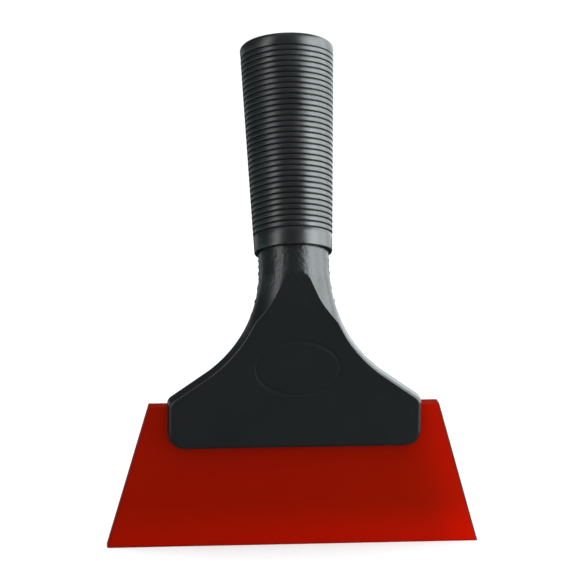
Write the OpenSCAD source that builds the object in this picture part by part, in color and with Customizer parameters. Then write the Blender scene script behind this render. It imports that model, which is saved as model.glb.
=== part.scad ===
// Squeegee applicator: a thick polyurethane blade held between the two halves of a moulded
// handle. The handle leans back from the blade and carries a ribbed rubber grip.
// The tool stands upright on its wiping edge: X runs along the edge, -Y is the front and
// Z points up. The origin is the middle of the wiping edge. All lengths are millimetres.

/* [Blade] */
// Length of the wiping edge
blade_edge_w = 150; // [146:1:156]
// Width of the blade along its upper edge
blade_top_w = 116; // [112:1:120]
// Height of the blade
blade_h = 58; // [56:1:60]
// Thickness of the blade
blade_t = 6; // [5:0.5:6.5]
// Free space on each side of the blade in its slot
slot_gap = 0.1; // [0.05:0.05:0.2]

/* [Head] */
// Width of the head across its straight sides
head_w = 101.4; // [98:0.2:104]
// Thickness of the head from front face to rear face
head_t = 16; // [15:0.5:18]
// How far the head reaches down over the blade
lap_h = 16.5; // [14:0.5:18]
// Radius of the two lower corners
corner_r = 6; // [3:0.5:8]
// Angle of the sloping shoulders below horizontal
shoulder_slope = 34.5; // [33:0.5:37]
// Radius of the concave sweep from the neck to the shoulders
flare_r = 51; // [49:1:53]
// Bulge of the side faces of the head
flank_bulge = 4.5; // [4:0.5:8]
// How far the rear face is drawn in from the joint line at either side
rear_tuck = 3; // [1:0.5:3.5]
// How far the flat front face is drawn in near its upper tip
tip_pinch = 2.6; // [0:0.2:3]
// Wall thickness of the moulded halves
wall = 2.8; // [2.4:0.1:3.2]

/* [Neck] */
// Diameter of the neck
neck_d = 28; // [27:0.5:29]
// Lean of the handle behind the blade's plane
lean = 25; // [22:0.5:28]
// Height where the handle's axis meets the blade's plane
bend_z = 97; // [95:0.5:99]
// Radius of the bend between the head and the neck
bend_r = 50; // [40:5:60]
// Radius of the concave sweep behind the neck
nape_r = 60; // [50:5:70]

/* [Grip] */
// Distance along the axis from the bend to the grip's lower edge
grip_start = 22; // [21:0.5:24]
// Length of the grip
grip_len = 86.5; // [80:0.5:90]
// Diameter at the grip's lower edge
grip_low_d = 31; // [30.6:0.2:32]
// Diameter at the grip's closed end
grip_top_d = 38; // [36:0.5:40]
// Number of ring grooves
groove_count = 34; // [20:1:34]
// Width of one groove at its mouth
groove_w = 0.8; // [0.5:0.1:1]
// Depth of one groove
groove_depth = 0.6; // [0.3:0.1:0.6]
// Smooth band below the lowest groove
low_band = 7.2; // [6:0.2:8]
// Smooth band above the highest groove
top_band = 5.3; // [4.5:0.1:5.5]
// Rounding of the closed end
grip_edge_r = 1.8; // [1:0.1:2.5]
// Diameter of the stem inside the grip
stem_d = 27.6; // [27.2:0.1:27.6]

/* [Fasteners] */
// Diameter of the screws
screw_d = 4; // [4:0.1:4]
// Length of a clamp screw under its head
clamp_screw_len = 10; // [9:0.5:10]
// Length of the neck screw under its head
neck_screw_len = 16; // [15:0.5:16]
// Diameter of a screw head
screw_head_d = 7.8; // [7.4:0.1:8]
// Height of a screw head
screw_head_h = 2.6; // [2.2:0.1:2.8]
// Depth of the counterbore for a clamp screw's head
counterbore_h = 3.4; // [3:0.1:3.6]
// Distance between neighbouring clamp screws
clamp_pitch = 30; // [26:1:32]
// Height of the clamp screws above the wiping edge
clamp_z = 66; // [65:0.5:67]
// Distance of the neck screw from the bend
neck_screw_s = 9; // [7:0.5:11]
// Outside diameter of a threaded insert
insert_d = 6; // [5.6:0.1:6.2]
// Length of a threaded insert
insert_len = 6; // [5.6:0.1:6]

/* [Badge] */
// Width of the oval outline on the front face
badge_w = 34; // [30:1:36]
// Height of the oval outline
badge_h = 23; // [20:1:24]
// Height of the oval's centre above the wiping edge
badge_z = 74; // [72:0.5:76]
// Depth of the oval outline
badge_depth = 0.3; // [0.2:0.1:0.4]

/* [Hidden] */

around = 64;
neck_r = neck_d / 2;
half_t = head_t / 2;
head_low = blade_h - lap_h;
slot_top = blade_h + 0.2;
slot_half = blade_t / 2 + slot_gap;

// The spine of the handle: straight up through the head, bent once, then along the axis.
bend_tangent = bend_r * tan(lean / 2);
q_bend = bend_z - bend_tangent - head_low;
q_straight = q_bend + bend_r * lean * PI / 180;
q_neck_end = q_straight + grip_start - bend_tangent;
function lean_at(q) = lean * min(1, max(0, (q - q_bend) / (q_straight - q_bend)));
function spine_y(q) = bend_r * (1 - cos(lean_at(q))) + max(0, q - q_straight) * sin(lean);
function spine_z(q) = head_low + min(q, q_bend) + bend_r * sin(lean_at(q))
                    + max(0, q - q_straight) * cos(lean);

// The front outline: straight sides, sloping shoulders and a concave sweep into the neck.
sweep_turn = 90 - shoulder_slope;
sweep_top = 112.4;
q_sweep = sweep_top - head_low;
q_shoulder = q_sweep - flare_r * sin(sweep_turn);
shoulder_half = neck_r + flare_r * (1 - cos(sweep_turn));
function sweep_half(q) = neck_r + flare_r - sqrt(pow(flare_r, 2) - pow(q_sweep - q, 2));
function half_w(q) = q >= q_sweep ? neck_r
    : q >= q_shoulder ? sweep_half(q)
    : min(head_w / 2, shoulder_half + (q_shoulder - q) / tan(shoulder_slope));

// The sides bulge as a full round at the neck and flatten towards the head.
function fade(q) = min(1, max(0, (q - 32) / 34));
function bulge(q) = flank_bulge + (neck_r - flank_bulge) * fade(q) * fade(q) * (3 - 2 * fade(q));
function squash(t) = max(-1, min(1, 1.6 * cos(t)));
function full_x(q, t) = (half_w(q) - bulge(q)) * squash(t) + bulge(q) * cos(t);

// The rear tapers in from the joint line, and the front face comes to a straight-sided tip.
function ease(f) = let (c = min(1, max(0, f))) c * c * (3 - 2 * c);
function front_limit(q) = (half_t + spine_y(q)) / cos(lean_at(q));
function crease_half(q) = full_x(q, asin(min(1, front_limit(q) / neck_r)));
function crease_z(q) = spine_z(q) + front_limit(q) * sin(lean_at(q));
function tip_share(q) = min(1, max(0, (crease_z(q) - 92) / 21));
function tip_draw(q) = tip_pinch * pow(max(0, sin(180 * tip_share(q))), 1.2) / max(7, crease_half(q));
function rear_draw(q) = rear_tuck * (1 - ease((q - 38) / 20)) / half_w(q);
function section_x(q, t) = let (n = neck_r * sin(t)) full_x(q, t)
    * (n > 0 ? 1 - rear_draw(q) * n / half_t : 1 - tip_draw(q) * pow(n / front_limit(q), 2));
function section_point(q, t) = [
    section_x(q, t),
    spine_y(q) + neck_r * sin(t) * cos(lean_at(q)),
    spine_z(q) - neck_r * sin(t) * sin(lean_at(q))];

q_corner = q_shoulder - (head_w / 2 - shoulder_half) * tan(shoulder_slope);
stations = concat(
    [-4, q_corner - 2.4, q_corner - 0.9, q_corner + 0.6, q_corner + 1.8],
    [for (i = [0 : 2]) q_corner + 4.5 + i * (q_shoulder - q_corner - 5.5) / 2],
    [for (i = [0 : 14]) q_shoulder + 0.6 + i * (q_sweep - q_shoulder - 1.2) / 14],
    [q_neck_end - 3, q_neck_end]);

// Distance s along the handle's axis, measured from the bend, carried to the leaning frame.
module along_axis(s) {
    translate([0, 0, bend_z])
        rotate([-lean, 0, 0])
            translate([0, 0, s])
                children();
}

// The plain outside shape of the handle before its flat faces are cut.
module handle_loft() {
    last = len(stations) - 1;
    points = [for (q = stations) for (i = [0 : around - 1]) section_point(q, 360 * i / around)];
    sides = [for (k = [0 : last - 1]) for (i = [0 : around - 1])
        let (a = k * around + i, b = k * around + (i + 1) % around)
        each [[a, b + around, b], [a, a + around, b + around]]];
    low_cap = [[for (i = [0 : around - 1]) i]];
    high_cap = [[for (i = [around - 1 : -1 : 0]) last * around + i]];
    polyhedron(points, concat(sides, low_cap, high_cap), convexity = 6);
}

// Side view of the flat front face, the flat rear face and the curved nape behind the neck.
nape_turn = lean;
nape_tangent = nape_r * tan(nape_turn / 2);
nape_cross = bend_z + (half_t * cos(lean) - neck_r - 0.25) / sin(lean);
module side_profile() {
    nape = [for (i = [0 : 10])
        let (a = nape_turn * i / 10)
        [half_t + nape_r * (1 - cos(a)), nape_cross - nape_tangent + nape_r * sin(a)]];
    rotate([90, 0, 90])
        linear_extrude(height = head_w + 20, center = true)
            polygon(concat([[-half_t, head_low], [half_t, head_low]], nape,
                [[half_t + nape_r * (1 - cos(nape_turn)) + 60 * sin(lean),
                  nape_cross - nape_tangent + nape_r * sin(nape_turn) + 60 * cos(lean)],
                 [-half_t, 175]]));
}

// Front view of the head with its rounded lower corners.
module front_view() {
    side = head_w / 2 + 4;
    rotate([90, 0, 0])
        linear_extrude(height = 120, center = true)
            polygon(concat(
                [for (i = [0 : 8]) let (a = 180 + i * 90 / 8)
                    [-head_w / 2 + corner_r + corner_r * cos(a), head_low + corner_r + corner_r * sin(a)]],
                [for (i = [0 : 8]) let (a = 270 + i * 90 / 8)
                    [head_w / 2 - corner_r + corner_r * cos(a), head_low + corner_r + corner_r * sin(a)]],
                [[side, head_low + corner_r + 4], [side, 180],
                 [-side, 180], [-side, head_low + corner_r + 4]]));
}

// Everything in front of the joint face, which follows the spine.
module front_side() {
    q_end = q_neck_end + 100;
    rotate([90, 0, 90])
        linear_extrude(height = head_w + 40, center = true)
            polygon(concat(
                [[-90, 0], [0, 0]],
                [for (i = [0 : 8]) let (q = q_bend + (q_straight - q_bend) * i / 8) [spine_y(q), spine_z(q)]],
                [[spine_y(q_end), spine_z(q_end)], [-90, spine_z(q_end)]]));
}

// The handle as one body: the shaped head and neck with a plain stem inside the grip.
stem_len = grip_len - 3.4;
module handle_body() {
    intersection() {
        handle_loft();
        side_profile();
        front_view();
    }
    along_axis(grip_start - 8)
        cylinder(h = stem_len + 8, d = stem_d, $fn = 96);
}

// Hollows inside the halves, left open towards the joint face.
pocket_low = slot_top + wall;
pocket_high = 92;
module pocket_outline() {
    rows = [for (i = [0 : 10]) pocket_low + (pocket_high - pocket_low) * i / 10];
    edge = [for (z = rows) [half_w(z - head_low) - wall * 1.6, z]];
    polygon(concat(edge, [for (i = [10 : -1 : 0]) [-edge[i][0], edge[i][1]]]));
}

module pockets() {
    rib = 2;
    difference() {
        rotate([90, 0, 0])
            linear_extrude(height = 2 * (half_t - wall), center = true)
                pocket_outline();
        for (x = [-1, 0, 1])
            translate([x * clamp_pitch, 0, clamp_z])
                rotate([90, 0, 0])
                    cylinder(h = head_t, d = insert_d + 5, center = true, $fn = 48);
        for (x = [-0.5, 0.5])
            translate([x * clamp_pitch, 0, 80])
                cube([rib, head_t, 60], center = true);
        translate([0, 0, clamp_z + 10])
            cube([head_w, head_t, rib], center = true);
    }
}

module stem_bore() {
    bore_low = neck_screw_s + 7;
    along_axis(bore_low)
        cylinder(h = grip_start + stem_len - bore_low - wall, d = stem_d - 2 * 3.2, $fn = 72);
}

// The slot for the blade, open below and at both ends.
module blade_slot() {
    translate([0, 0, slot_top / 2])
        cube([head_w + 20, 2 * slot_half, slot_top], center = true);
}

// Places a fastener on the clamp row: its axis points to the rear from the joint face.
module at_clamp(column) {
    translate([column * clamp_pitch, 0, clamp_z])
        rotate([-90, 0, 0])
            children();
}

// Places a fastener in the neck, square to the handle's axis.
module at_neck() {
    along_axis(neck_screw_s)
        rotate([-90, 0, 0])
            children();
}

insert_hole_depth = insert_len + 0.4;
clamp_seat = half_t - counterbore_h;
neck_seat = neck_screw_len - clamp_screw_len + clamp_seat;
module insert_hole() {
    translate([0, 0, -insert_hole_depth])
        cylinder(h = insert_hole_depth + 1, d = insert_d, $fn = 48);
}

module screw_hole(seat) {
    translate([0, 0, -1])
        cylinder(h = 30, d = screw_d + 0.5, $fn = 48);
    translate([0, 0, seat])
        cylinder(h = 30, d = screw_head_d + 0.8, $fn = 64);
}

// The oval outline sunk into the front face.
module badge_ring() {
    line = 0.8;
    oval = function (w, h) [for (i = [0 : 47]) [w / 2 * cos(i * 7.5), h / 2 * sin(i * 7.5)]];
    translate([0, badge_depth - half_t, badge_z])
        rotate([90, 0, 0])
            difference() {
                linear_extrude(height = 2)
                    polygon(oval(badge_w, badge_h));
                translate([0, 0, -1])
                    linear_extrude(height = 4)
                        polygon(oval(badge_w - 2 * line, badge_h - 2 * line));
            }
}

module front_shell() {
    color("#212427")
        difference() {
            intersection() {
                handle_body();
                front_side();
            }
            blade_slot();
            pockets();
            stem_bore();
            badge_ring();
            for (column = [-1, 0, 1])
                at_clamp(column) insert_hole();
            at_neck() insert_hole();
        }
}

module rear_shell() {
    color("#26292c")
        difference() {
            handle_body();
            front_side();
            blade_slot();
            pockets();
            stem_bore();
            for (column = [-1, 0, 1])
                at_clamp(column) screw_hole(clamp_seat);
            at_neck() screw_hole(neck_seat);
        }
}

// Ribbed rubber sleeve, closed at its upper end.
grip_taper = (grip_top_d - grip_low_d) / 2 / grip_len;
function grip_r(h) = grip_low_d / 2 + grip_taper * h;
groove_pitch = (grip_len - low_band - top_band) / (groove_count - 1);
module grip_sleeve() {
    bore_r = stem_d / 2 + 0.02;
    grooves = [for (i = [0 : groove_count - 1]) let (h = low_band + i * groove_pitch) each [
        [grip_r(h) , h - groove_w / 2],
        [grip_r(h) - groove_depth, h - groove_w / 5],
        [grip_r(h) - groove_depth, h + groove_w / 5],
        [grip_r(h), h + groove_w / 2]]];
    edge = [for (i = [0 : 6]) let (a = i * 15)
        [grip_top_d / 2 - grip_edge_r + grip_edge_r * cos(a), grip_len - grip_edge_r + grip_edge_r * sin(a)]];
    color("#33373a")
        along_axis(grip_start)
            rotate_extrude($fn = 96)
                polygon(concat(
                    [[bore_r, 0], [grip_r(0) - 0.4, 0], [grip_r(0), 0.4]],
                    grooves, edge,
                    [[0, grip_len], [0, stem_len + 0.1], [bore_r, stem_len + 0.1]]));
}

// Trapezoid blade with its wiping edge on the work surface.
module blade() {
    color("#a01408")
        rotate([90, 0, 0])
            linear_extrude(height = blade_t, center = true)
                polygon([[-blade_edge_w / 2, 0], [blade_edge_w / 2, 0],
                         [blade_top_w / 2, blade_h], [-blade_top_w / 2, blade_h]]);
}

// Brass insert with a plain bore in place of its thread.
module threaded_insert() {
    color("#b08d4a")
        translate([0, 0, -insert_len - 0.2])
            difference() {
                union() {
                    cylinder(h = insert_len, d = insert_d - 0.5, $fn = 48);
                    cylinder(h = 2.2, d = insert_d, $fn = 48);
                    translate([0, 0, insert_len - 2.2])
                        cylinder(h = 2.2, d = insert_d, $fn = 48);
                }
                translate([0, 0, -1])
                    cylinder(h = insert_len + 2, d = screw_d + 0.1, $fn = 48);
            }
}

// Pan head screw with a cross recess, just clear of the seat in its counterbore.
module pan_screw(seat, len) {
    arm_w = 1.1;
    arm_len = 4.4;
    recess = 1.6;
    dome_r = 8;
    under_head = seat + 0.05;
    top = under_head + screw_head_h;
    color("#b9bcc0")
        difference() {
            union() {
                translate([0, 0, under_head - len])
                    cylinder(h = len + 0.5, d = screw_d, $fn = 48);
                intersection() {
                    translate([0, 0, under_head])
                        cylinder(h = screw_head_h, d = screw_head_d, $fn = 64);
                    translate([0, 0, top - dome_r])
                        sphere(r = dome_r, $fn = 64);
                }
            }
            for (turn = [0, 90])
                rotate([0, 0, turn])
                    translate([0, 0, top])
                        cube([arm_len, arm_w, 2 * recess], center = true);
        }
}

module insert_left() { at_clamp(-1) threaded_insert(); }
module insert_center() { at_clamp(0) threaded_insert(); }
module insert_right() { at_clamp(1) threaded_insert(); }
module insert_neck() { at_neck() threaded_insert(); }
module clamp_screw_left() { at_clamp(-1) pan_screw(clamp_seat, clamp_screw_len); }
module clamp_screw_center() { at_clamp(0) pan_screw(clamp_seat, clamp_screw_len); }
module clamp_screw_right() { at_clamp(1) pan_screw(clamp_seat, clamp_screw_len); }
module neck_screw() { at_neck() pan_screw(neck_seat, neck_screw_len); }

front_shell();
rear_shell();
grip_sleeve();
blade();
insert_left();
insert_center();
insert_right();
insert_neck();
clamp_screw_left();
clamp_screw_center();
clamp_screw_right();
neck_screw();
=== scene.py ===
"""Squeegee applicator for pressing vinyl film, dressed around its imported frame.

The handle is moulded in two halves, a front and a rear shell, which clamp a thick cast urethane
blade and carry a ribbed rubber grip. Lengths in this file are millimetres until a mesh is made.
"""
import logging
import math
from dataclasses import dataclass
from enum import Enum
from typing import Iterable, Sequence

import bmesh
import bpy
from bpy.types import Material, Node, NodeSocket, NodeTree, Object
from mathutils import Matrix, Vector


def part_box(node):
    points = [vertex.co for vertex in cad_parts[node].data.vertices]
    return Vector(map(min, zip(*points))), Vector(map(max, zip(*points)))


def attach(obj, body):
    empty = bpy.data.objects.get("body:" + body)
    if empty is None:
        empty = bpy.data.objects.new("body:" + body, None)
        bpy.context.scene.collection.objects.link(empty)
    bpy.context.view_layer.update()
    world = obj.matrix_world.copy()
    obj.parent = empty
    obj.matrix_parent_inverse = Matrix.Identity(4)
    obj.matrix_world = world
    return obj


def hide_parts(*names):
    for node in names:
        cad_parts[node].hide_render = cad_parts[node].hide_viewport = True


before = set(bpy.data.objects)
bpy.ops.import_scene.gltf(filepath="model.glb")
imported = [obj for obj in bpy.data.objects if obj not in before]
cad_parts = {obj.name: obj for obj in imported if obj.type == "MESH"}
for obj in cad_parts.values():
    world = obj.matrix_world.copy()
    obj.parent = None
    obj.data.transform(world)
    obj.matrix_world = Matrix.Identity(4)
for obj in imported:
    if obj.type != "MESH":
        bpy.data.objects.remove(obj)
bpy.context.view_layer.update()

logging.basicConfig(level=logging.INFO, format="%(message)s")
log = logging.getLogger("squeegee")

MM = 0.001
Point2 = tuple[float, float]
Point3 = tuple[float, float, float]
Source = Node | NodeSocket
Inputs = tuple[dict[str, object], dict[str, Source]]

RGBA_MIX = {"data_type": "RGBA"}
EASED = {"interpolation_type": "SMOOTHSTEP"}
SCALE_AND_ADD = {"operation": "MULTIPLY_ADD"}
CLAMPED_SUM = {"operation": "MULTIPLY_ADD", "use_clamp": True}

TINY = 1e-6
HALVINGS = 40
OUTLINE_STEPS = 240
FINE_STEPS = 144
CUTTER_STEPS = 64
SCREW_STEPS = 48


class Half(Enum):
    """Which half of the handle a shell is; the value is the side of the joint face it is on."""

    FRONT = -1
    REAR = 1


class Slot(Enum):
    """The record's material slots."""

    PLASTIC = "black_plastic"
    RUBBER = "grip_rubber"
    URETHANE = "urethane"
    BRASS = "brass_insert"
    STEEL = "zinc_steel"


# ---------------------------------------------------------------- small helpers

def linear(hex_colour: str) -> tuple[float, float, float, float]:
    """Turns an sRGB hex colour into linear RGBA.

    Args:
        hex_colour: A colour such as "#1d1f21".

    Returns:
        Red, green, blue and alpha in linear light.
    """
    channels = [int(hex_colour[i:i + 2], 16) / 255 for i in (1, 3, 5)]
    red, green, blue = (c / 12.92 if c <= 0.04045 else ((c + 0.055) / 1.055) ** 2.4 for c in channels)
    return red, green, blue, 1.0


def spans(start: float, full: float, low: float = 0.0, high: float = 1.0) -> dict[str, float]:
    """Input values that carry start to low and full to high."""
    return {"From Min": start, "From Max": full, "To Min": low, "To Max": high}


def output_of(source: Source) -> NodeSocket:
    """A socket as it is, or the first output of a node that is in use."""
    if isinstance(source, NodeSocket):
        return source
    return next(socket for socket in source.outputs if socket.enabled)


def add_node(
    tree: NodeTree,
    kind: str,
    settings: dict[str, object] | None = None,
    values: dict[str | int, object] | None = None,
    links: dict[str | int, Source] | None = None,
) -> Node:
    """Adds one shader node with its settings, input values and incoming links.

    Args:
        tree: The node tree that gets the node.
        kind: The node's type name, without the ShaderNode that it starts with.
        settings: Attributes to set on the node itself.
        values: Input name, or its number where names repeat, to the constant it holds.
        links: Input name or number to the socket or node that feeds it.

    Returns:
        The new node.
    """
    node = tree.nodes.new(f"ShaderNode{kind}")
    for name, value in (settings or {}).items():
        setattr(node, name, value)
    for name, value in (values or {}).items():
        node.inputs[name].default_value = value
    for name, source in (links or {}).items():
        tree.links.new(output_of(source), node.inputs[name])
    return node


def lerp(low: float, high: float, share: float) -> float:
    """Goes from low to high as share goes from 0 to 1."""
    return low + (high - low) * share


def clamp(value: float, low: float, high: float) -> float:
    """Holds value between low and high."""
    return max(low, min(high, value))


def smooth(share: float) -> float:
    """Eases a share between 0 and 1 so that both ends are level."""
    share = clamp(share, 0.0, 1.0)
    return share * share * (3 - 2 * share)


def rise(value: float, start: float, length: float) -> float:
    """Share of an eased rise that begins at start and is whole after length."""
    return smooth((value - start) / length)


def spread(low: float, high: float, count: int) -> list[float]:
    """Lists count values evenly from low to high, both included."""
    return [lerp(low, high, i / (count - 1)) for i in range(count)]


def node_box(node: str) -> tuple[Vector, Vector]:
    """Lowest and highest corners of a CAD node at rest, in millimetres."""
    low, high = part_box(node)
    return Vector(low) / MM, Vector(high) / MM


def band(low: Sequence[int], high: Sequence[int]) -> list[list[int]]:
    """Faces between two closed rings of corners, with three corners where a ring is one point."""
    ways = [(i, (i + 1) % len(low)) for i in range(len(low))]
    return [list(dict.fromkeys([low[i], low[j], high[j], high[i]])) for i, j in ways]


def mesh_piece(
    name: str,
    points: Sequence[Point3],
    faces: Iterable[Sequence[int]],
    place: Matrix | None = None,
    crease_deg: float = 35.0,
) -> Object:
    """Makes a smooth-shaded mesh object from points in millimetres.

    Args:
        name: The object's name.
        points: Corner points in millimetres.
        faces: Corner indices of each face.
        place: Where the points go, in metres, or None for the row frame itself.
        crease_deg: Edges that turn more than this stay sharp.

    Returns:
        The object, at the origin of the row frame.
    """
    mesh = bpy.data.meshes.new(name)
    mesh.from_pydata([[c * MM for c in p] for p in points], [], [list(f) for f in faces])
    if place is not None:
        mesh.transform(place)
    tidy = bmesh.new()
    tidy.from_mesh(mesh)
    bmesh.ops.recalc_face_normals(tidy, faces=tidy.faces)
    tidy.to_mesh(mesh)
    tidy.free()
    piece = bpy.data.objects.new(name, mesh)
    bpy.context.scene.collection.objects.link(piece)
    shade(piece, crease_deg)
    return piece


def shade(piece: Object, crease_deg: float) -> None:
    """Shades a mesh smooth, with edges that turn more than crease_deg kept sharp."""
    piece.data.polygons.foreach_set("use_smooth", [True] * len(piece.data.polygons))
    piece.data.set_sharp_from_angle(angle=math.radians(crease_deg))
    piece.data.update()


def apply_modifiers(piece: Object) -> None:
    """Bakes a piece's modifiers into its mesh."""
    graph = bpy.context.evaluated_depsgraph_get()
    baked = bpy.data.meshes.new_from_object(piece.evaluated_get(graph))
    piece.modifiers.clear()
    piece.data = baked


def carve(piece: Object, cutters: Sequence[Object], crease_deg: float) -> None:
    """Cuts closed cutters out of a piece and removes them.

    Args:
        piece: The closed mesh to cut.
        cutters: Closed meshes to take away.
        crease_deg: Edges that turn more than this are shaded sharp afterwards.
    """
    for cutter in cutters:
        cut = piece.modifiers.new("cut", "BOOLEAN")
        cut.operation = "DIFFERENCE"
        cut.solver = "EXACT"
        cut.object = cutter
    bpy.context.view_layer.update()
    apply_modifiers(piece)
    for cutter in cutters:
        bpy.data.objects.remove(cutter)
    shade(piece, crease_deg)
    weigh = piece.modifiers.new("weigh", "WEIGHTED_NORMAL")
    weigh.keep_sharp = True
    apply_modifiers(piece)


def lathe(
    name: str,
    outline: Sequence[Point2],
    place: Matrix,
    around: int,
    crease_deg: float = 35.0,
) -> Object:
    """Turns a closed outline of (radius, height) points about its axis.

    A point at radius 0 becomes one corner on the axis.

    Args:
        name: The object's name.
        outline: The outline in millimetres, closed by its last and first points.
        place: Where the axis goes, in metres.
        around: Number of steps around the axis.
        crease_deg: Edges that turn more than this stay sharp.

    Returns:
        The turned piece.
    """
    points: list[Point3] = []
    rings: list[list[int]] = []
    for radius, height in outline:
        if radius < TINY:
            rings.append([len(points)] * around)
            points.append((0.0, 0.0, height))
            continue
        rings.append([len(points) + i for i in range(around)])
        for i in range(around):
            turn = math.tau * i / around
            points.append((radius * math.cos(turn), radius * math.sin(turn), height))
    faces: list[list[int]] = []
    for low, high in zip(rings, rings[1:] + rings[:1]):
        if low[0] != low[1] or high[0] != high[1]:
            faces += band(low, high)
    return mesh_piece(name, points, faces, place, crease_deg)


def block(
    name: str,
    low: Sequence[Point3],
    high: Sequence[Point3],
    place: Matrix | None = None,
) -> Object:
    """Joins two outlines of four corners in millimetres into one closed block.

    Args:
        name: The object's name.
        low: Corners of one end, in order.
        high: Corners of the other end, in the same order.
        place: Where the points go, in metres, or None for the row frame itself.

    Returns:
        The block.
    """
    near, far = [0, 1, 2, 3], [4, 5, 6, 7]
    return mesh_piece(name, [*low, *high], [near[::-1], far, *band(near, far)], place)


def arc(centre: Point2, radius: float, start_deg: float, end_deg: float, count: int) -> list[Point2]:
    """Lists points on an arc.

    Args:
        centre: Centre of the arc.
        radius: Its radius.
        start_deg: Angle of the first point.
        end_deg: Angle of the last point.
        count: Number of points.

    Returns:
        The points in order.
    """
    angles = [math.radians(a) for a in spread(start_deg, end_deg, count)]
    return [(centre[0] + radius * math.cos(a), centre[1] + radius * math.sin(a)) for a in angles]


def settle(piece: Object, body: str, node: str, material: Material) -> None:
    """Gives a piece its material, its body and the CAD node that it stands for.

    Args:
        piece: The finished piece.
        body: The body it moves with.
        node: The CAD node it replaces.
        material: Its finish.
    """
    piece.data.materials.clear()
    piece.data.materials.append(material)
    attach(piece, body)
    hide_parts(node)
    log.info("%s: %d faces, rides on %s", piece.name, len(piece.data.polygons), body)


# ---------------------------------------------------------------- finishes

@dataclass(frozen=True)
class Finish:
    """What every finish shares. Each finish says in dress() what its shader is fed with."""

    name: str = ""

    def dress(self, tree: NodeTree, place: NodeSocket) -> Inputs:
        """Adds the finish's own nodes.

        Args:
            tree: The material's node tree.
            place: The point on the object, in metres.

        Returns:
            The shader's constants, and the nodes that feed its other inputs.
        """
        raise NotImplementedError(self.name)

    def build(self) -> Material:
        """Builds the material."""
        material = bpy.data.materials.new(self.name)
        material.use_nodes = True
        tree = material.node_tree
        tree.nodes.clear()
        place = add_node(tree, "TexCoord").outputs["Object"]
        values, links = self.dress(tree, place)
        shader = add_node(tree, "BsdfPrincipled", values=values, links=links)
        add_node(tree, "OutputMaterial", links={"Surface": shader})
        return material


@dataclass(frozen=True)
class Patches:
    """Slow patches in which a surface changes a little in colour and in roughness together.

    The roughness goes from its first value to its second over the span of the patches' strength.
    """

    colours: tuple[str, str]
    roughness: Point2
    size_mm: float
    detail: float = 3.0
    span: Point2 = (0.0, 1.0)
    eased: bool = False

    def lay(self, tree: NodeTree, place: NodeSocket) -> tuple[Source, Source]:
        """Adds the patches.

        Args:
            tree: The material's node tree.
            place: The point on the object, in metres.

        Returns:
            The nodes that give the colour and the roughness.
        """
        patch = add_node(tree, "TexNoise", {}, {"Scale": 1 / (self.size_mm * MM), "Detail": self.detail},
                         {"Vector": place})
        first, second = (linear(colour) for colour in self.colours)
        tone = add_node(tree, "Mix", RGBA_MIX, {"A": first, "B": second}, {"Factor": patch})
        gloss = add_node(tree, "MapRange", EASED if self.eased else {}, spans(*self.span, *self.roughness),
                         {"Value": patch})
        return tone, gloss


@dataclass(frozen=True)
class Relief:
    """A fine, even unevenness of a surface, such as grain or a cast skin."""

    size_mm: float
    deep_mm: float
    share: float
    detail: float = 2.0

    def lay(self, tree: NodeTree, place: NodeSocket, under: Source | None = None) -> Source:
        """Adds the relief.

        Args:
            tree: The material's node tree.
            place: The point on the object, in metres.
            under: A coarser relief that this one lies on, or None.

        Returns:
            The node that gives the way the surface faces.
        """
        noise = add_node(tree, "TexNoise", {}, {"Scale": 1 / (self.size_mm * MM), "Detail": self.detail},
                         {"Vector": place})
        links = {"Height": noise} if under is None else {"Height": noise, "Normal": under}
        return add_node(tree, "Bump", {}, {"Strength": self.share, "Distance": self.deep_mm * MM}, links)


@dataclass(frozen=True)
class MouldedABS(Finish):
    """Black ABS, injection moulded in a spark-eroded tool.

    The eye sees a deep black that turns satin grey where it grazes a light, with the slow ripple
    of sink and flow on top of a fine, even grain. The ripple is nearly gone on the flat head.
    """

    name: str = "moulded_black_abs"
    patches: Patches = Patches(("#111415", "#151819"), (0.29, 0.34), 22.0, 3.0, (0.2, 0.8), True)
    ior: float = 1.5
    ripple_mm: float = 1.6
    ripple_deep_mm: float = 0.18
    ripple_from_mm: Point2 = (98.0, 114.0)
    ripple_share: Point2 = (0.06, 1.0)
    grain: Relief = Relief(0.6, 0.02, 0.8, 1.0)

    def dress(self, tree: NodeTree, place: NodeSocket) -> Inputs:
        """Adds the patches, the ripple above the head and the grain."""
        tone, gloss = self.patches.lay(tree, place)
        ripple = add_node(tree, "TexNoise", {},
                          {"Scale": 1 / (self.ripple_mm * MM), "Detail": 2.0, "Roughness": 0.45},
                          {"Vector": place})
        height = add_node(tree, "SeparateXYZ", links={"Vector": place}).outputs["Z"]
        start, full = self.ripple_from_mm
        on_neck = add_node(tree, "MapRange", EASED, spans(start * MM, full * MM, *self.ripple_share),
                           {"Value": height})
        slow = add_node(tree, "Bump", {}, {"Distance": self.ripple_deep_mm * MM},
                        {"Height": ripple, "Strength": on_neck})
        normal = self.grain.lay(tree, place, slow)
        return {"IOR": self.ior}, {"Base Color": tone, "Roughness": gloss, "Normal": normal}


@dataclass(frozen=True)
class MouldedRubber(Finish):
    """Black thermoplastic rubber, moulded with a smooth skin.

    The eye sees soft black lands with a broad sheen and no sharp glint, slightly dusty in tone.
    """

    name: str = "moulded_black_rubber"
    patches: Patches = Patches(("#111314", "#171a1b"), (0.29, 0.41), 9.0, 4.0, (0.3, 0.7))
    ior: float = 1.58
    skin: Relief = Relief(0.9, 0.03, 0.3)

    def dress(self, tree: NodeTree, place: NodeSocket) -> Inputs:
        """Adds the dusty patches and the skin."""
        tone, gloss = self.patches.lay(tree, place)
        normal = self.skin.lay(tree, place)
        return {"IOR": self.ior}, {"Base Color": tone, "Roughness": gloss, "Normal": normal}


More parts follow.
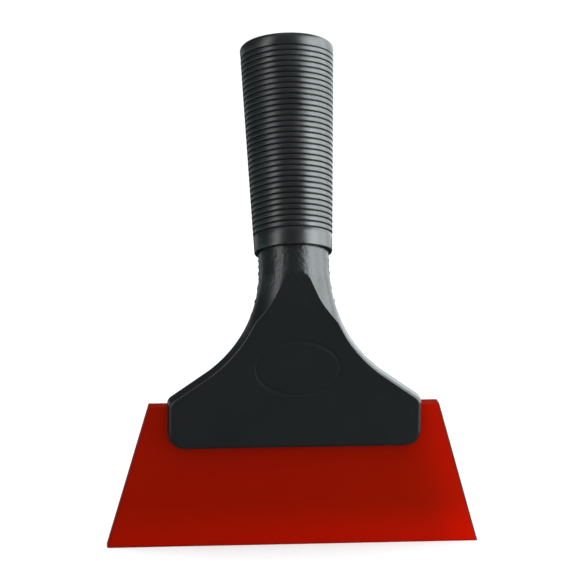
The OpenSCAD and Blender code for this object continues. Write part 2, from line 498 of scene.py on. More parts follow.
@dataclass(frozen=True)
class CastUrethane(Finish):
    """Red polyurethane sheet, cast flat and cut to shape.

    The eye sees a deep saturated red, a little translucent, under a satin skin with the faint
    cloudiness of a cast sheet. Painted light makes it a brighter red along the wiping edge, more
    to the right, and down the right side; painted shade darkens the cut sides and the wiping edge.
    """

    name: str = "cast_red_urethane"
    patches: Patches = Patches(("#780b00", "#740a00"), (0.2, 0.26), 35.0, 3.0, (0.2, 0.8), True)
    painted_light_colour: str = "#bc0a00"
    painted_shade_colour: str = "#560a04"
    skin_tint: str = "#ffc090"
    skin_reflection: float = 0.1
    ior: float = 1.42
    half_length_mm: float = 75.0
    side_slope: float = 17 / 58
    low_edge_mm: float = 20.0
    low_painted_light: Point2 = (0.14, 0.36)
    side_edge_mm: Point2 = (54.0, 76.0)
    side_painted_light: float = 0.26
    side_shade_mm: float = 0.85
    side_shade_share: float = 0.85
    land_mm: float = 0.55
    land_shade_share: float = 0.4
    skin: Relief = Relief(1.6, 0.02, 0.2)
    glow_share: float = 0.2
    glow_mm: float = 3.0
    glow_reach: Point3 = (1.0, 0.12, 0.06)

    def painted_edge_light(self, tree: NodeTree, axes: Node) -> Source:
        """Adds painted light along the wiping edge, which grows to the right, and down the right side.

        Args:
            tree: The material's node tree.
            axes: The point on the object, split into X, Y and Z.

        Returns:
            The node that gives the painted light's strength.
        """
        end = self.half_length_mm * MM
        near_edge = add_node(tree, "MapRange", EASED, spans(self.low_edge_mm * MM, 0.0),
                             {"Value": axes.outputs["Z"]})
        low_share = add_node(tree, "MapRange", {}, spans(-end, end, *self.low_painted_light),
                             {"Value": axes.outputs["X"]})
        slant = add_node(tree, "Math", SCALE_AND_ADD, {1: self.side_slope},
                         {0: axes.outputs["Z"], 2: axes.outputs["X"]})
        start, full = self.side_edge_mm
        near_side = add_node(tree, "MapRange", EASED, spans(start * MM, full * MM, 0.0, self.side_painted_light),
                             {"Value": slant})
        return add_node(tree, "Math", CLAMPED_SUM, {}, {0: near_edge, 1: low_share, 2: near_side})

    def painted_edge_shade(self, tree: NodeTree, axes: Node) -> Source:
        """Adds painted shade: darker lines along the two cut sides and the wiping edge.

        Args:
            tree: The material's node tree.
            axes: The point on the object, split into X, Y and Z.

        Returns:
            The node that gives the painted shade's strength.
        """
        across = add_node(tree, "Math", {"operation": "ABSOLUTE"}, {}, {0: axes.outputs["X"]})
        outward = add_node(tree, "Math", SCALE_AND_ADD, {1: self.side_slope},
                           {0: axes.outputs["Z"], 2: across})
        end = self.half_length_mm
        side_shade_strip = add_node(tree, "MapRange", {},
                            spans((end - self.side_shade_mm) * MM, end * MM, 0.0, self.side_shade_share),
                            {"Value": outward})
        land = add_node(tree, "Math", {"operation": "LESS_THAN"}, {1: self.land_mm * MM},
                        {0: axes.outputs["Z"]})
        return add_node(tree, "Math", CLAMPED_SUM, {1: self.land_shade_share}, {0: land, 2: side_shade_strip})

    def dress(self, tree: NodeTree, place: NodeSocket) -> Inputs:
        """Adds the cloudy patches, the painted light and the painted shade lines on them, and the skin."""
        tone, gloss = self.patches.lay(tree, place)
        axes = add_node(tree, "SeparateXYZ", links={"Vector": place})
        # painted light: a brighter red along the wiping edge, more to the right, and down the right side
        painted_light_tone = add_node(tree, "Mix", RGBA_MIX, {"B": linear(self.painted_light_colour)},
                            {"Factor": self.painted_edge_light(tree, axes), "A": tone})
        # painted shade: darker lines on the two cut sides and the wiping edge
        painted_shade_tone = add_node(tree, "Mix", RGBA_MIX, {"B": linear(self.painted_shade_colour)},
                            {"Factor": self.painted_edge_shade(tree, axes), "A": painted_light_tone})
        values = {"IOR": self.ior, "Specular IOR Level": self.skin_reflection,
                  "Specular Tint": linear(self.skin_tint), "Subsurface Weight": self.glow_share,
                  "Subsurface Radius": self.glow_reach, "Subsurface Scale": self.glow_mm * MM}
        return values, {"Base Color": painted_shade_tone, "Roughness": gloss, "Normal": self.skin.lay(tree, place)}


@dataclass(frozen=True)
class ZincPlatedSteel(Finish):
    """Bright zinc plate on a cold-headed steel screw: cool grey metal, a little patchy in its shine."""

    name: str = "zinc_plated_steel"
    patches: Patches = Patches(("#c3c7cb", "#aeb4bd"), (0.2, 0.37), 1.5)

    def dress(self, tree: NodeTree, place: NodeSocket) -> Inputs:
        """Adds the patches of the plating."""
        tone, gloss = self.patches.lay(tree, place)
        return {"Metallic": 1.0}, {"Base Color": tone, "Roughness": gloss}


@dataclass(frozen=True)
class KnurledBrass(Finish):
    """Free-cutting brass, turned and straight knurled: warm yellow metal with fine bright lines."""

    name: str = "knurled_brass"
    colour: str = "#c9a24f"
    shadow: str = "#a27f37"
    roughness: float = 0.3
    tooth_mm: float = 0.6
    tooth_deep_mm: float = 0.1
    tooth_share: float = 0.5
    bands_at_unit_scale: float = 3.2

    def dress(self, tree: NodeTree, place: NodeSocket) -> Inputs:
        """Adds the knurl's teeth."""
        teeth = add_node(tree, "TexWave", {"bands_direction": "X"},
                         {"Scale": 1 / (self.bands_at_unit_scale * self.tooth_mm * MM)}, {"Vector": place})
        teeth = teeth.outputs["Fac"]
        tone = add_node(tree, "Mix", RGBA_MIX, {"A": linear(self.shadow), "B": linear(self.colour)},
                        {"Factor": teeth})
        bump = add_node(tree, "Bump", {},
                        {"Strength": self.tooth_share, "Distance": self.tooth_deep_mm * MM},
                        {"Height": teeth})
        return {"Metallic": 1.0, "Roughness": self.roughness}, {"Base Color": tone, "Normal": bump}


@dataclass(frozen=True)
class MattePaper(Finish):
    """White background paper: an even matte white with a barely visible tooth."""

    name: str = "matte_white_paper"
    colour: str = "#f3f9fa"
    roughness: float = 0.95
    reflection: float = 0.1
    tooth: Relief = Relief(3.0, 0.1, 0.05)

    def dress(self, tree: NodeTree, place: NodeSocket) -> Inputs:
        """Adds the paper's tooth."""
        values = {"Base Color": linear(self.colour), "Roughness": self.roughness,
                  "Specular IOR Level": self.reflection}
        return values, {"Normal": self.tooth.lay(tree, place)}


# ---------------------------------------------------------------- the handle's form

@dataclass(frozen=True)
class HandleForm:
    """The outside form of the handle, shared by both shells. All lengths are millimetres.

    The form is a row of sections along a spine that rises through the head, bends once and
    follows the leaning axis. A distance q runs along the spine from the head's lower edge, and a
    field that ends in rise says where along q a change begins and how long it takes.
    """

    head_w: float = 101.4
    head_t: float = 16.0
    head_low: float = 41.5
    corner_r: float = 6.0
    shoulder_slope: float = 34.5
    shoulder_r: float = 3.0
    flare_r: float = 51.0
    sweep_top: float = 112.4
    flank_bulge: float = 4.5
    flank_rise: Point2 = (32.0, 34.0)
    rear_tuck: float = 3.0
    tuck_rise: Point2 = (38.0, 20.0)
    neck_r: float = 14.0
    stem_r: float = 13.8
    stem_step: float = 0.05
    lean: float = math.radians(25.0)
    bend_z: float = 97.0
    bend_r: float = 50.0
    nape_r: float = 60.0
    nape_gap: float = 0.25
    rear_search: Point2 = (2.0, 24.0)
    grip_start: float = 22.0
    stem_len: float = 83.1
    slot_top: float = 58.2
    slot_half: float = 3.1
    low_edge_r: float = 1.4
    long_edge_r: Point2 = (1.7, 0.9)
    long_edge_rise: Point2 = (18.0, 40.0)
    crown_spread: float = 1.6
    pinch: float = 2.6
    pinch_z: Point2 = (92.0, 113.0)
    pinch_power: float = 1.2

    @property
    def bend_tangent(self) -> float:
        """Distance from the bend's corner to where its arc starts."""
        return self.bend_r * math.tan(self.lean / 2)

    @property
    def q_bend(self) -> float:
        """Where the spine starts to bend."""
        return self.bend_z - self.bend_tangent - self.head_low

    @property
    def q_straight(self) -> float:
        """Where the spine is straight again and follows the axis."""
        return self.q_bend + self.bend_r * self.lean

    @property
    def q_neck_end(self) -> float:
        """Where the neck meets the grip's lower edge."""
        return self.q_straight + self.grip_start - self.bend_tangent

    @property
    def q_stem_end(self) -> float:
        """Where the stem ends inside the grip."""
        return self.q_neck_end + self.stem_len

    @property
    def sweep_turn(self) -> float:
        """Angle that the concave sweep turns through."""
        return math.pi / 2 - math.radians(self.shoulder_slope)

    @property
    def q_sweep(self) -> float:
        """Where the concave sweep meets the neck."""
        return self.sweep_top - self.head_low

    @property
    def q_shoulder(self) -> float:
        """Where the concave sweep meets the sloping shoulder."""
        return self.q_sweep - self.flare_r * math.sin(self.sweep_turn)

    @property
    def shoulder_half(self) -> float:
        """Half width where the sweep meets the shoulder."""
        return self.neck_r + self.flare_r * (1 - math.cos(self.sweep_turn))

    @property
    def q_corner(self) -> float:
        """Where the shoulder line meets the straight side."""
        fall = math.tan(math.radians(self.shoulder_slope))
        return self.q_shoulder - (self.head_w / 2 - self.shoulder_half) * fall

    def lean_at(self, q: float) -> float:
        """Lean of the spine at q, in radians."""
        return self.lean * clamp((q - self.q_bend) / (self.q_straight - self.q_bend), 0.0, 1.0)

    def spine(self, q: float) -> Point2:
        """Y and Z of the spine at q."""
        lean = self.lean_at(q)
        beyond = max(0.0, q - self.q_straight)
        y = self.bend_r * (1 - math.cos(lean)) + beyond * math.sin(self.lean)
        z = self.head_low + min(q, self.q_bend) + self.bend_r * math.sin(lean) + beyond * math.cos(self.lean)
        return y, z

    def full_r(self, q: float) -> float:
        """Radius of a fully round section at q: the neck's, or the stem's inside the grip."""
        return self.stem_r if q >= self.q_neck_end + self.stem_step else self.neck_r

    def half_width(self, q: float) -> float:
        """Half width of the front outline at q, with both corners rounded."""
        if q >= self.q_sweep:
            return self.full_r(q)
        if q >= self.q_shoulder:
            return self.neck_r + self.flare_r - math.sqrt(self.flare_r ** 2 - (self.q_sweep - q) ** 2)
        slope = math.radians(self.shoulder_slope)
        sloped = self.shoulder_half + (self.q_shoulder - q) / math.tan(slope)
        reach = self.shoulder_r * math.tan((math.pi / 2 - slope) / 2)
        above = q - (self.q_corner - reach)
        width = side = self.head_w / 2
        if above >= reach + reach * math.sin(slope):
            width = min(sloped, side)
        elif above > 0:
            width = side - self.shoulder_r + math.sqrt(max(0.0, self.shoulder_r ** 2 - above ** 2))
        if q < self.corner_r:
            width = side - self.corner_r + math.sqrt(self.corner_r ** 2 - (self.corner_r - q) ** 2)
        return width

    def flank(self, q: float) -> float:
        """How far the side face bulges at q: a full round at the neck, flatter in the head."""
        return lerp(self.flank_bulge, self.full_r(q), rise(q, *self.flank_rise))

    def front_limit(self, q: float) -> float:
        """Distance from the spine to the flat front face, measured in the section at q."""
        return (self.head_t / 2 + self.spine(q)[0]) / math.cos(self.lean_at(q))

    def nape_y(self, z: float) -> float:
        """Y of the rear face and of the curved nape above it at height z."""
        back = self.head_t / 2
        cross = self.bend_z + (back * math.cos(self.lean) - self.neck_r - self.nape_gap) / math.sin(self.lean)
        start = cross - self.nape_r * math.tan(self.lean / 2)
        above = z - start
        if above <= 0:
            return back
        end = self.nape_r * math.sin(self.lean)
        if above <= end:
            return back + self.nape_r - math.sqrt(self.nape_r ** 2 - above ** 2)
        return back + self.nape_r * (1 - math.cos(self.lean)) + (above - end) * math.tan(self.lean)

    def rear_limit(self, q: float) -> float:
        """Distance from the spine to the rear face in the section at q, found by halving a range."""
        y, z = self.spine(q)
        lean = self.lean_at(q)
        low, high = self.rear_search
        for _ in range(HALVINGS):
            middle = (low + high) / 2
            inside = y + middle * math.cos(lean) < self.nape_y(z - middle * math.sin(lean))
            low, high = (middle, high) if inside else (low, middle)
        return low

    def edge_r(self, q: float) -> float:
        """Rounding of the long edges at q: fuller on the head and crisper up the sweep."""
        return lerp(*self.long_edge_r, rise(q, *self.long_edge_rise))

    def tip_pinch(self, q: float) -> float:
        """How far the flat front face is drawn in at q, which gives its upper tip straight sides."""
        crease_z = self.spine(q)[1] + self.front_limit(q) * math.sin(self.lean_at(q))
        low, high = self.pinch_z
        share = clamp((crease_z - low) / (high - low), 0.0, 1.0)
        return self.pinch * max(0.0, math.sin(math.pi * share)) ** self.pinch_power

    def low_inset(self, q: float) -> float:
        """How far the rounded lower edge draws the section in at q."""
        short = max(0.0, self.low_edge_r - q)
        return self.low_edge_r - math.sqrt(self.low_edge_r ** 2 - short ** 2)

    def edge_point(self, q: float, normal_deg: float, half: Half) -> Point2:
        """One point of the right-hand outer curve of a section.

        Args:
            q: Distance along the spine.
            normal_deg: Way the surface faces, from 90 on the flat face to 0 at the joint face.
            half: Which shell the curve belongs to.

        Returns:
            X and the signed distance from the joint face, both in the section.
        """
        round_r = self.edge_r(q)
        inset = self.low_inset(q)
        bulge = self.flank(q)
        limit = (self.front_limit(q) if half is Half.FRONT else self.rear_limit(q)) - inset
        wide, deep = bulge - round_r, self.full_r(q) - round_r
        a = math.radians(normal_deg)
        reach = deep ** 2 * math.sin(a) / math.hypot(wide * math.cos(a), deep * math.sin(a))
        n = min(reach, limit - round_r)
        roundness = math.sqrt(max(0.0, 1 - (n / deep) ** 2))
        x = (self.half_width(q) - inset - bulge) * min(1.0, self.crown_spread * roundness) + wide * roundness
        if half is Half.REAR:
            x -= self.rear_tuck * (1 - rise(q, *self.tuck_rise)) * n / self.head_t * 2
        else:
            x = max(0.0, x - self.tip_pinch(q) * (n / max(1.0, limit - round_r)) ** 2)
        return x + round_r * math.cos(a), half.value * (n + round_r * math.sin(a))

    def place(self, q: float, point: Point2) -> Point3:
        """Carries a section's point to the row frame, in millimetres."""
        y, z = self.spine(q)
        lean = self.lean_at(q)
        return point[0], y + point[1] * math.cos(lean), z - point[1] * math.sin(lean)


def even_points(curve: Sequence[Point2], count: int, turn_share: float = 0.55) -> list[Point2]:
    """Spaces points along a curve, closer where it turns.

    Args:
        curve: A dense run of points.
        count: Number of points wanted.
        turn_share: Share of the spacing that follows the turning instead of the length.

    Returns:
        The points, with both ends kept.
    """
    lengths = [math.dist(a, b) for a, b in zip(curve, curve[1:])]
    ways = [math.atan2(b[1] - a[1], b[0] - a[0]) for a, b in zip(curve, curve[1:])]
    turns = [0.0] + [abs(math.remainder(b - a, math.tau)) for a, b in zip(ways, ways[1:])]
    whole_length = sum(lengths) or 1.0
    whole_turn = sum(turns) or 1.0
    marks = [0.0]
    for length, turn in zip(lengths, turns):
        marks.append(marks[-1] + (1 - turn_share) * length / whole_length + turn_share * turn / whole_turn)
    points: list[Point2] = []
    k = 0
    for target in spread(0.0, marks[-1], count):
        while k < len(lengths) - 1 and marks[k + 1] < target:
            k += 1
        share = clamp((target - marks[k]) / max(1e-12, marks[k + 1] - marks[k]), 0.0, 1.0)
        points.append((lerp(curve[k][0], curve[k + 1][0], share), lerp(curve[k][1], curve[k + 1][1], share)))
    return points


@dataclass
class Shell:
    """One moulded half of the handle, from the head's lower edge to the end of the stem."""

    form: HandleForm
    half: Half
    name: str
    outer_points: int = 60
    lip_r: float = 0.25
    flash_mm: float = 0.3
    flash_most: float = 1.4

    def flash(self, q: float) -> float:
        """Height of the rough moulding line at q: three waves of unlike lengths, only on the neck."""
        form = self.form
        on_neck = smooth((q - form.q_sweep + 22) / 8) * smooth((form.q_neck_end - 1 - q) / 3)
        wave = math.sin(2.3 * q) + 0.7 * math.sin(5.1 * q + 1.3) + 0.4 * math.sin(9.7 * q)
        return self.flash_mm * on_neck * clamp(wave, 0.0, self.flash_most)

    def half_loop(self, q: float, depth: float) -> list[Point2]:
        """The right half of the shell's section at q.

        Args:
            q: Distance along the spine.
            depth: Distance from the spine to the inner face.

        Returns:
            Points from the middle of the outer face round the side to the middle of the inner face.
        """
        normals = spread(90.0, 0.0, OUTLINE_STEPS + 1)
        dense = [self.form.edge_point(q, normal_deg, self.half) for normal_deg in normals]
        sign = self.half.value
        top = (0.0, dense[0][1])
        end = depth + self.lip_r
        kept = [p for p in dense if abs(p[1]) > end]
        nearest = kept[-1]
        after = dense[min(len(kept), len(dense) - 1)]
        share = clamp((abs(nearest[1]) - end) / max(TINY, abs(nearest[1]) - abs(after[1])), 0.0, 1.0)
        kept.append((lerp(nearest[0], after[0], share), sign * end))
        outer = even_points([top] + kept, self.outer_points)
        x = outer[-1][0] + self.flash(q)
        lip = [(x - self.lip_r + self.lip_r * math.cos(a), sign * (end - self.lip_r * math.sin(a)))
               for a in (0.0, math.pi / 4, math.pi / 2)]
        inner = [(lip[-1][0] * share, sign * depth) for share in (0.96, 0.8, 0.6, 0.4, 0.2, 0.0)]
        return outer[:-1] + lip + inner

    def loop(self, q: float, depth: float) -> list[Point3]:
        """The whole closed section at q, in the row frame."""
        right = self.half_loop(q, depth)
        left = [(-x, n) for x, n in right[-2:0:-1]]
        return [self.form.place(q, p) for p in right + left]

    def stations(self) -> list[tuple[float, float]]:
        """Every section's distance along the spine, with the depth of its inner face.

        The sections stand closer where the outline turns: at the edges, the slot and the sweep.

        Returns:
            Pairs of distance and depth, from the lower edge up.
        """
        form = self.form
        low = [form.low_edge_r * (1 - math.cos(a)) for a in spread(0.0, math.pi / 2, 7)]
        corner = [form.corner_r * (1 - math.cos(a)) for a in spread(0.75, math.pi / 2, 9)]
        slot = form.slot_top - form.head_low
        side = spread(form.corner_r + 2, slot - 4.5, 4) + spread(slot - 3.6, slot, 8)
        shoulder = spread(slot, form.q_corner + 3.2, 12)
        slope = spread(form.q_corner + 4, form.q_shoulder, 8)
        sweep = spread(form.q_shoulder + 1, form.q_sweep, 42)
        neck = spread(form.q_sweep + 0.8, form.q_neck_end, 15)
        stem = [form.q_neck_end + 0.06] + spread(form.q_neck_end + 4, form.q_stem_end, 12)
        below = [(q, form.slot_half) for q in low + corner + side]
        return below + [(q, 0.0) for q in shoulder + slope + sweep + neck + stem]

    def build(self) -> Object:
        """Builds the shell as one closed mesh."""
        loops = [self.loop(q, depth) for q, depth in self.stations()]
        size = len(loops[0])
        rings = [range(k * size, (k + 1) * size) for k in range(len(loops))]
        faces = [face for low, high in zip(rings, rings[1:]) for face in band(low, high)]
        for ring in (rings[0], rings[-1]):
            for i in range(size // 2):
                corners = dict.fromkeys([ring[i], ring[i + 1], ring[size - i - 1], ring[-i]])
                if len(corners) > 2:
                    faces.append(list(corners))
        return mesh_piece(self.name, [p for one in loops for p in one], faces)


@dataclass
class Handle:
    """Both shells, with the screw holes in the rear one and the oval outline on the front one."""

    form: HandleForm
    plastic: Material
    clamp_screws: tuple[str, ...] = ("clamp_screw_left", "clamp_screw_center", "clamp_screw_right")
    clamp_seat: float = 4.6
    neck_seat: float = 10.6
    neck_s: float = 9.0
    hole_r: float = 2.25
    counterbore_r: float = 4.3
    mouth_ease: float = 0.35
    overshoot: float = 2.0
    crease_deg: float = 30.0
    badge_w: float = 34.6
    badge_h: float = 23.2
    badge_x: float = 0.7
    badge_z: float = 74.0
    badge_line: float = 1.5
    badge_slope: float = 0.4
    badge_depth: float = 0.2

    def clamp_place(self, node: str) -> Matrix:
        """Frame of the clamp screw in a CAD node, its Z pointing to the rear from the joint face."""
        low, high = node_box(node)
        middle = (low + high) / 2
        spot = Vector((middle.x, 0.0, middle.z)) * MM
        return Matrix.Translation(spot) @ Matrix.Rotation(-math.pi / 2, 4, "X")

    def axis_place(self, s: float) -> Matrix:
        """Frame on the handle's axis at distance s from the bend, its Z pointing up the axis."""
        lift = Matrix.Translation(Vector((0.0, 0.0, self.form.bend_z)) * MM)
        lean = Matrix.Rotation(-self.form.lean, 4, "X")
        return lift @ lean @ Matrix.Translation(Vector((0.0, 0.0, s)) * MM)

    def neck_place(self) -> Matrix:
        """Frame of the neck screw, its Z pointing to the rear."""
        return self.axis_place(self.neck_s) @ Matrix.Rotation(-math.pi / 2, 4, "X")

    def hole_cutter(self, place: Matrix, seat: float, mouth: float | None = None) -> Object:
        """A stepped cutter for a screw hole and its counterbore.

        Args:
            place: The screw's frame.
            seat: Height of the counterbore's floor over the joint face.
            mouth: Height of the flat face that the hole opens in with an eased edge, or None.

        Returns:
            The cutter.
        """
        wide = self.counterbore_r
        if mouth is None:
            end = seat + 7 * self.overshoot
            opening = [(wide, end), (0.0, end)]
        else:
            eased, end = wide + self.mouth_ease, mouth + 3 * self.overshoot
            opening = [(wide, mouth - self.mouth_ease), (eased, mouth), (eased + end - mouth, end),
                       (0.0, end)]
        start = -self.overshoot
        outline = [(0.0, start), (self.hole_r, start), (self.hole_r, seat), (wide, seat), *opening]
        return lathe("hole_cutter", outline, place, CUTTER_STEPS)

    def badge_cutter(self) -> Object:
        """A ring of trapezoid section that sinks the plain oval outline into the front face."""
        face = -self.form.head_t / 2
        floor = face + self.badge_depth
        half, clear = self.badge_line / 2, 1.0
        flare = self.badge_slope * clear / self.badge_depth
        profile = [(-half - flare, face - clear), (half + flare, face - clear),
                   (half - self.badge_slope, floor), (self.badge_slope - half, floor)]
        points: list[Point3] = []
        for i in range(FINE_STEPS):
            turn = math.tau * i / FINE_STEPS
            for offset, y in profile:
                x = (self.badge_w / 2 - half + offset) * math.cos(turn)
                z = (self.badge_h / 2 - half + offset) * math.sin(turn)
                points.append((self.badge_x + x, y, self.badge_z + z))
        rings = [range(4 * i, 4 * i + 4) for i in range(FINE_STEPS)]
        faces = [face for low, high in zip(rings, rings[1:] + rings[:1]) for face in band(low, high)]
        return mesh_piece("badge_cutter", points, faces)

    def shell(self, half: Half, cutters: Sequence[Object]) -> None:
        """Builds one shell, cuts it and dresses it."""
        node = f"{half.name.lower()}_shell"
        shell = Shell(self.form, half, f"{node}_moulding").build()
        carve(shell, cutters, self.crease_deg)
        settle(shell, "handle", node, self.plastic)

    def build(self) -> None:
        """Builds both shells."""
        self.shell(Half.FRONT, [self.badge_cutter()])
        mouth = self.form.head_t / 2
        cutters = [self.hole_cutter(self.clamp_place(node), self.clamp_seat, mouth)
                   for node in self.clamp_screws]
        self.shell(Half.REAR, [*cutters, self.hole_cutter(self.neck_place(), self.neck_seat)])


# ---------------------------------------------------------------- grip, blade and fasteners

@dataclass
class Grip:
    """Ribbed rubber sleeve, closed at its upper end."""

    handle: Handle
    rubber: Material
    length: float = 86.5
    low_r: float = 15.5
    top_r: float = 19.0
    bore_r: float = 13.82
    grooves: int = 34
    groove_w: float = 0.56
    groove_depth: float = 0.6
    low_band: float = 7.2
    top_band: float = 5.3
    end_r: float = 1.8
    land_crown: float = 0.066
    foot_r: float = 0.5
    crease_deg: float = 50.0

    def radius(self, h: float) -> float:
        """Outer radius at height h above the lower edge."""
        return lerp(self.low_r, self.top_r, h / self.length)

    def groove(self, h: float) -> list[Point2]:
        """Outline of one U-shaped groove whose mouth is eased at both lips."""
        half, depth = self.groove_w / 2, self.groove_depth
        lips = [(-half - 0.1, 0.0), (-half, -0.05), (-half * 0.8, -depth / 2), (-half * 0.5, 0.07 - depth),
                (0.0, -depth)]
        both = lips + [(-x, y) for x, y in lips[-2::-1]]
        return [(self.radius(h) + y, h + x) for x, y in both]

    def outline(self) -> list[Point2]:
        """The sleeve's closed section, from the bore round the outside and back."""
        pitch = (self.length - self.low_band - self.top_band) / (self.grooves - 1)
        lip = arc((self.low_r - self.foot_r, self.foot_r), self.foot_r, -90, 0, 5)
        points = [(self.bore_r, 0.25), (self.bore_r + 0.25, 0.0)] + lip
        points += [(self.radius(h), h) for h in (2.0, 4.5)]
        for i in range(self.grooves):
            h = self.low_band + i * pitch
            points += self.groove(h)
            for t in spread(0.23, 0.77, 7) if i < self.grooves - 1 else ():
                crown = self.land_crown * (1 - (2 * t - 1) ** 2)
                points.append((self.radius(h + pitch * t) + crown, h + pitch * t))
        points += arc((self.top_r - self.end_r, self.length - self.end_r), self.end_r, 4, 90, 9)
        points += [(r, self.length) for r in (15.0, 11.0, 6.0, 0.0)]
        ceiling = self.handle.form.stem_len + 0.1
        points += [(0.0, ceiling), (self.bore_r, ceiling)]
        return points

    def build(self) -> None:
        """Builds the sleeve."""
        place = self.handle.axis_place(self.handle.form.grip_start)
        sleeve = lathe("ribbed_grip", self.outline(), place, FINE_STEPS, self.crease_deg)
        settle(sleeve, "handle", "grip_sleeve", self.rubber)


@dataclass
class Blade:
    """Trapezoid urethane blade, its cut edges lightly eased. The frame gives its length and height."""

    urethane: Material
    top_w: float = 116.0
    ease: float = 0.35
    inset: float = 0.4
    large_area: float = 300.0
    crease_deg: float = 60.0

    def hold_flat(self, blade: Object) -> None:
        """Insets the large faces a little, so that the eased edges don't tilt their shading."""
        tidy = bmesh.new()
        tidy.from_mesh(blade.data)
        large = [f for f in tidy.faces if f.calc_area() > self.large_area * MM * MM]
        bmesh.ops.inset_individual(tidy, faces=large, thickness=self.inset * MM)
        tidy.to_mesh(blade.data)
        tidy.free()

    def build(self) -> None:
        """Builds the blade."""
        low, high = node_box("blade")
        corners = [(low.x, low.z), (high.x, low.z), (self.top_w / 2, high.z), (-self.top_w / 2, high.z)]
        blade = block("urethane_blade", *([(x, y, z) for x, z in corners] for y in (low.y, high.y)))
        bevel = blade.modifiers.new("eased edges", "BEVEL")
        bevel.width = self.ease * MM
        bevel.segments = 3
        bevel.harden_normals = True
        apply_modifiers(blade)
        self.hold_flat(blade)
        shade(blade, self.crease_deg)
        settle(blade, "blade_body", "blade", self.urethane)


@dataclass
class PanScrew:
    """Pan head screw with a cross recess and a rolled thread."""

    node: str
    place: Matrix
    seat: float
    length: float
    turn_deg: float
    steel: Material
    shank_r: float = 2.0
    root_r: float = 1.7
    thread_pitch: float = 0.7
    tip_ease: float = 0.4
    head_gap: float = 0.05
    head_r: float = 3.9
    head_h: float = 2.6
    head_ease: float = 0.2
    dome_r: float = 8.0
    recess_len: float = 4.4
    recess_w: float = 1.1
    recess_depth: float = 1.6

    @property
    def under(self) -> float:
        """Height of the head's underside over the joint face."""
        return self.seat + self.head_gap

    def outline(self) -> list[Point2]:
        """The screw's section from its tip to the crown of its head."""
        under = self.under
        tip = under - self.length
        points: list[Point2] = [(0.0, tip), (self.root_r, tip)]
        h = tip + self.tip_ease
        while h < under - 1.2:
            points += [(self.shank_r, h), (self.root_r, h + self.thread_pitch / 2)]
            h += self.thread_pitch
        points += [(self.shank_r, under - 0.9), (self.shank_r, under), (self.head_r - self.head_ease, under)]
        top = under + self.head_h
        centre = top - self.dome_r
        rim_h = centre + math.sqrt(self.dome_r ** 2 - (self.head_r - 0.25) ** 2)
        points += [(self.head_r, under + self.head_ease), (self.head_r, rim_h - 0.3)]
        rim_deg = math.degrees(math.asin((rim_h - centre) / self.dome_r))
        points += arc((0.0, centre), self.dome_r, rim_deg, 90, 9)[:-1]
        points.append((0.0, top))
        return points

    def recess_cutter(self, turn_deg: float) -> Object:
        """One tapered arm pair of the cross recess."""
        top = self.under + self.head_h
        ends: list[list[Point3]] = []
        for share, h in ((0.55, top - self.recess_depth), (1.25, top + 0.8)):
            x, y = self.recess_len / 2 * share, self.recess_w / 2 * (0.8 + 0.2 * share)
            ends.append([(-x, -y, h), (x, -y, h), (x, y, h), (-x, y, h)])
        turned = self.place @ Matrix.Rotation(math.radians(turn_deg), 4, "Z")
        return block("recess_cutter", *ends, turned)

    def build(self) -> None:
        """Builds the screw."""
        screw = lathe(f"{self.node}_headed", self.outline(), self.place, SCREW_STEPS, 40.0)
        carve(screw, [self.recess_cutter(self.turn_deg + a) for a in (0, 90)], 35.0)
        settle(screw, f"{self.node}_body", self.node, self.steel)


@dataclass
class Fasteners:
    """The clamp and neck screws, and the inserts that hold them in the front shell."""

    handle: Handle
    steel: Material
    brass: Material
    inserts: tuple[str, ...] = ("insert_left", "insert_center", "insert_right", "insert_neck")
    clamp_length: float = 10.0
    clamp_turns_deg: Point3 = (14.0, 52.0, -21.0)
    neck_length: float = 16.0
    neck_turn_deg: float = 33.0

    def build(self) -> None:
        """Builds the screws and dresses the inserts."""
        handle = self.handle
        for node, turn in zip(handle.clamp_screws, self.clamp_turns_deg):
            place = handle.clamp_place(node)
            PanScrew(node, place, handle.clamp_seat, self.clamp_length, turn, self.steel).build()
        place, turn = handle.neck_place(), self.neck_turn_deg
        PanScrew("neck_screw", place, handle.neck_seat, self.neck_length, turn, self.steel).build()
        for node in self.inserts:
            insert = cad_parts[node]
            insert.data.materials.clear()
            insert.data.materials.append(self.brass)
            log.info("%s: carried over in brass", node)


# ---------------------------------------------------------------- studio

class LightUse(Enum):
    """What a soft light is for; the value says whether it reaches matte and glossy rays."""

    FILL = (True, False)
    SHEEN = (False, True)


@dataclass(frozen=True)
class Softbox:
    """One rectangular soft light that faces the tool from a ring around it.

    Angles are degrees. The azimuth is 0 in front of the tool and grows to its right.
    """

    name: str
    azimuth: float
    elevation: float
    spread: Point2
    radiance: float
    use: LightUse
    colour: str = "#ffffff"
    distance: float = 1300.0
    aim: Point3 = (0.0, 30.0, 150.0)

    def hang(self) -> None:
        """Hangs the light in the scene, hidden from the camera."""
        data = bpy.data.lights.new(self.name, "AREA")
        data.shape = "RECTANGLE"
        data.size, data.size_y = (2 * self.distance * math.tan(math.radians(a / 2)) * MM for a in self.spread)
        data.energy = self.radiance * math.pi * data.size * data.size_y
        data.color = linear(self.colour)[:3]
        light = bpy.data.objects.new(self.name, data)
        light.visible_camera = False
        light.visible_diffuse, light.visible_glossy = self.use.value
        turn, rise = math.radians(self.azimuth), math.radians(self.elevation)
        way = Vector((math.sin(turn) * math.cos(rise), -math.cos(turn) * math.cos(rise), math.sin(rise)))
        light.location = (Vector(self.aim) + way * self.distance) * MM
        light.rotation_euler = way.to_track_quat("Z", "Y").to_euler()
        bpy.context.scene.collection.objects.link(light)


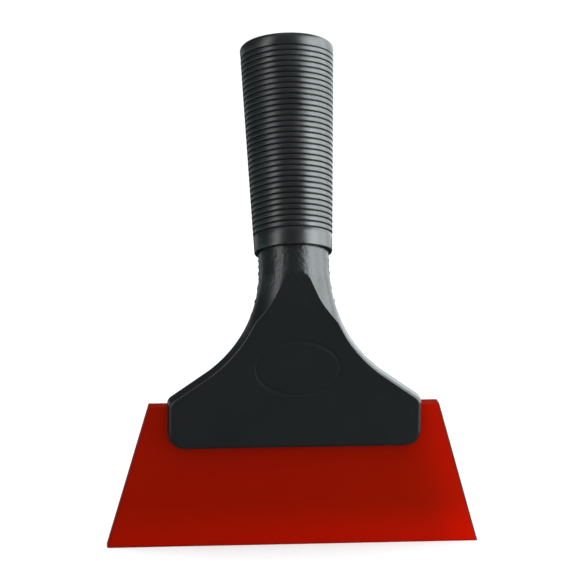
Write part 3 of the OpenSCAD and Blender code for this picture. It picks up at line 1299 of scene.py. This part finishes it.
@dataclass
class Studio:
    """Pale floor, soft lights and the camera."""

    paper: Material
    floor_half: float = 9000.0
    sky: float = 1.13
    sheen_sky: float = 0.05
    sheen_colour: str = "#e8f4fa"
    camera_spot: Point3 = (-88.6, -891.2, 288.9)
    camera_aim: Point3 = (-2.9, 0.0, 104.8)
    camera_roll_deg: float = 0.51
    camera_lens: float = 144.7
    camera_sensor: float = 36.0
    camera_reach_m: float = 100.0
    lights: tuple[Softbox, ...] = (
        Softbox("right_front_wall", 56, 15, (32, 50), 9.6, LightUse.SHEEN, "#f2f9fb"),
        Softbox("right_side_wall", 92, 15, (40, 50), 6.6, LightUse.SHEEN, "#f2f9fb"),
        Softbox("right_back_wall", 138, 12, (48, 44), 2.6, LightUse.SHEEN, "#f2f9fb"),
        Softbox("left_front_strip", -59, 18, (17, 50), 4.2, LightUse.SHEEN),
        Softbox("left_back_low", -144, -9, (30, 16), 0.55, LightUse.SHEEN),
        Softbox("low_left_glow", -95, -12, (44, 18), 1.3, LightUse.SHEEN, "#a6d8df"),
        Softbox("ceiling", 0, 88, (60, 60), 0.4, LightUse.SHEEN),
        Softbox("overhead_fill", 8, 62, (60, 60), 1.3, LightUse.FILL),
        Softbox("low_right_lamp", 60, 2, (16, 8), 44.0, LightUse.FILL, "#ffffff", 260.0, (60.0, 0.0, 10.0)),
    )

    def floor(self) -> None:
        """Lays the floor under the wiping edge; its reflection is left out so that black stays black."""
        reach = self.floor_half
        points = [(-reach, -reach, 0.0), (reach, -reach, 0.0), (reach, reach, 0.0), (-reach, reach, 0.0)]
        floor = mesh_piece("studio_floor", points, [[0, 1, 2, 3]])
        floor.data.materials.append(self.paper)
        floor.visible_glossy = False

    def world(self) -> None:
        """Surrounds the set with a white background that lights it gently and hardly reflects."""
        world = bpy.data.worlds.new("pale_surround")
        world.use_nodes = True
        tree = world.node_tree
        tree.nodes.clear()
        path = add_node(tree, "LightPath")
        white = linear("#ffffff")
        seen = add_node(tree, "Background", {}, {"Color": white, "Strength": 1.0})
        matte = add_node(tree, "Background", {}, {"Color": white, "Strength": self.sky})
        glossy = add_node(tree, "Background", {},
                          {"Color": linear(self.sheen_colour), "Strength": self.sheen_sky})
        lit = add_node(tree, "MixShader", {}, {}, {0: path.outputs["Is Glossy Ray"], 1: matte, 2: glossy})
        whole = add_node(tree, "MixShader", {}, {}, {0: path.outputs["Is Camera Ray"], 1: lit, 2: seen})
        add_node(tree, "OutputWorld", links={"Surface": whole})
        bpy.context.scene.world = world

    def camera(self) -> None:
        """Places the camera in front of the tool, a little to its left and above."""
        data = bpy.data.cameras.new("camera")
        data.lens = self.camera_lens
        data.sensor_width = self.camera_sensor
        data.clip_end = self.camera_reach_m
        camera = bpy.data.objects.new("camera", data)
        way = Vector(self.camera_aim) - Vector(self.camera_spot)
        level = way.to_track_quat("-Z", "Y").to_matrix().to_4x4()
        roll = Matrix.Rotation(math.radians(self.camera_roll_deg), 4, "Z")
        camera.matrix_world = Matrix.Translation(Vector(self.camera_spot) * MM) @ level @ roll
        bpy.context.scene.collection.objects.link(camera)
        bpy.context.scene.camera = camera

    def build(self) -> None:
        """Sets up the whole studio."""
        self.floor()
        self.world()
        for light in self.lights:
            light.hang()
        self.camera()
        bpy.context.scene.view_settings.view_transform = "Standard"
        log.info("studio: %d soft lights", len(self.lights))


def main() -> None:
    """Builds every sub-assembly in order."""
    form = HandleForm()
    handle = Handle(form, MouldedABS().build())
    handle.build()
    Grip(handle, MouldedRubber().build()).build()
    Blade(CastUrethane().build()).build()
    Fasteners(handle, ZincPlatedSteel().build(), KnurledBrass().build()).build()
    Studio(MattePaper().build()).build()


if __name__ == "__main__":
    main()
